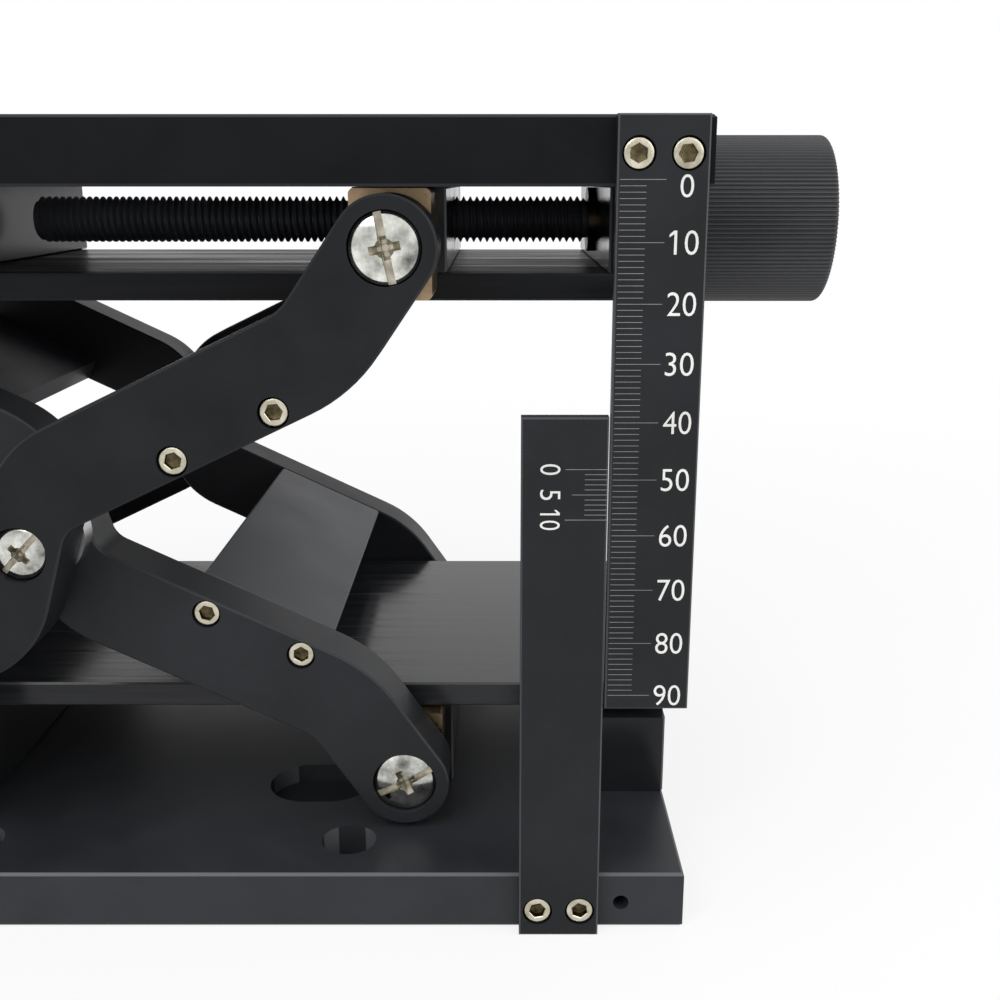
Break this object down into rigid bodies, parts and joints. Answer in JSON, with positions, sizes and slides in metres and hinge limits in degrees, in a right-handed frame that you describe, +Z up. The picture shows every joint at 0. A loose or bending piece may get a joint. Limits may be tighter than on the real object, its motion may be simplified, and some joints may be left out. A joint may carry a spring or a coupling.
{
  "type": "vertical lifting stage",
  "caption": "Scissor lifting stage: a flat platform raised over a base by crossed arms, a lead screw and a knurled knob, with a millimetre scale and vernier.",
  "frame": {"origin": "centre of the base plate's underside", "axes": "+Z up, +X towards the knob, -Y towards the side with the scale"},
  "size_m": [0.2425, 0.153, 0.1498],
  "materials": {
    "plates": "matt black anodised",
    "blocks": "black anodised",
    "guides": "black anodised, milled along its length",
    "arms": "matt black anodised, light edges",
    "cross_plates": "black anodised",
    "scales": "satin black anodised with white scale marks",
    "knob": "black anodised, finely knurled",
    "black_steel": "black oxide",
    "bronze": "machined bronze",
    "nickel": "bright nickel plated",
    "stainless": "stainless steel",
    "steel": "ground steel"
  },
  "bodies": {
    "base": {"base_plate": "plates", "lower_left_block": "blocks", "lower_right_block": "blocks", "lower_guide_plate": "guides", "lower_block_screws": "black_steel", "vernier_plate": "scales", "vernier_screws": "stainless", "lower_fixed_pivot_screws": "nickel", "lower_fixed_pivot_sleeves": "steel", "lower_fixed_pivot_washers": "steel"},
    "platform": {"platform_plate": "plates", "upper_left_block": "blocks", "bearing_block": "blocks", "upper_guide_plate": "guides", "upper_block_screws": "black_steel", "ruler": "scales", "ruler_screws": "stainless", "screw_bushes": "bronze", "upper_fixed_pivot_screws": "nickel", "upper_fixed_pivot_sleeves": "steel", "upper_fixed_pivot_washers": "steel"},
    "outer_arms": {"front_outer_arm": "arms", "rear_outer_arm": "arms", "outer_upper_cross_plate": "cross_plates", "outer_lower_cross_plate": "cross_plates", "outer_cross_screws": "stainless"},
    "inner_arms": {"front_inner_arm": "arms", "rear_inner_arm": "arms", "inner_upper_cross_plate": "cross_plates", "inner_lower_cross_plate": "cross_plates", "inner_cross_screws": "stainless", "centre_pivot_screws": "nickel", "centre_pivot_sleeves": "steel", "centre_pivot_spacers": "steel"},
    "lower_slide": {"front_lower_slider": "bronze", "rear_lower_slider": "bronze", "lower_slide_bar": "blocks", "lower_sliding_pivot_screws": "nickel", "lower_sliding_pivot_sleeves": "steel", "lower_sliding_pivot_washers": "steel"},
    "upper_slide": {"front_upper_slider": "bronze", "rear_upper_slider": "bronze", "nut_bar": "blocks", "lead_nut": "bronze", "upper_sliding_pivot_screws": "nickel", "upper_sliding_pivot_sleeves": "steel", "upper_sliding_pivot_washers": "steel"},
    "drive": {"lead_screw": "black_steel", "knob": "knob", "knob_set_screw": "black_steel"}
  },
  "joints": [
    {"name": "outer_arm_lift", "type": "hinge", "parent": "base", "child": "outer_arms", "pos_m": [-0.0845, 0, 0.0214], "axis": [0, -1, 0], "range_deg": [-18.01, 21.81]},
    {"name": "scissor_cross", "type": "hinge", "parent": "outer_arms", "child": "inner_arms", "pos_m": [-0.01802, 0, 0.07493], "axis": [0, -1, 0], "range_deg": [-43.62, 36.02]},
    {"name": "platform_level", "type": "hinge", "parent": "inner_arms", "child": "platform", "pos_m": [-0.0845, 0, 0.12845], "axis": [0, -1, 0], "range_deg": [-18.01, 21.81]},
    {"name": "lower_slide_swivel", "type": "hinge", "parent": "inner_arms", "child": "lower_slide", "pos_m": [0.04846, 0, 0.0214], "axis": [0, -1, 0], "range_deg": [-18.01, 21.81]},
    {"name": "upper_slide_swivel", "type": "hinge", "parent": "outer_arms", "child": "upper_slide", "pos_m": [0.04846, 0, 0.12845], "axis": [0, -1, 0], "range_deg": [-21.82, 18.02]},
    {"name": "knob_turn", "type": "hinge", "parent": "platform", "child": "drive", "pos_m": [0.103, 0, 0.13095], "axis": [1, 0, 0], "range_deg": [-8226, 9962]}
  ],
  "couplings": [
    {"joint": "outer_arm_lift", "follows": "knob_turn", "ratio": 0.0021882},
    {"joint": "scissor_cross", "follows": "knob_turn", "ratio": -0.0043764},
    {"joint": "platform_level", "follows": "knob_turn", "ratio": 0.0021882},
    {"joint": "lower_slide_swivel", "follows": "knob_turn", "ratio": 0.0021882},
    {"joint": "upper_slide_swivel", "follows": "knob_turn", "ratio": -0.0021882}
  ]
}
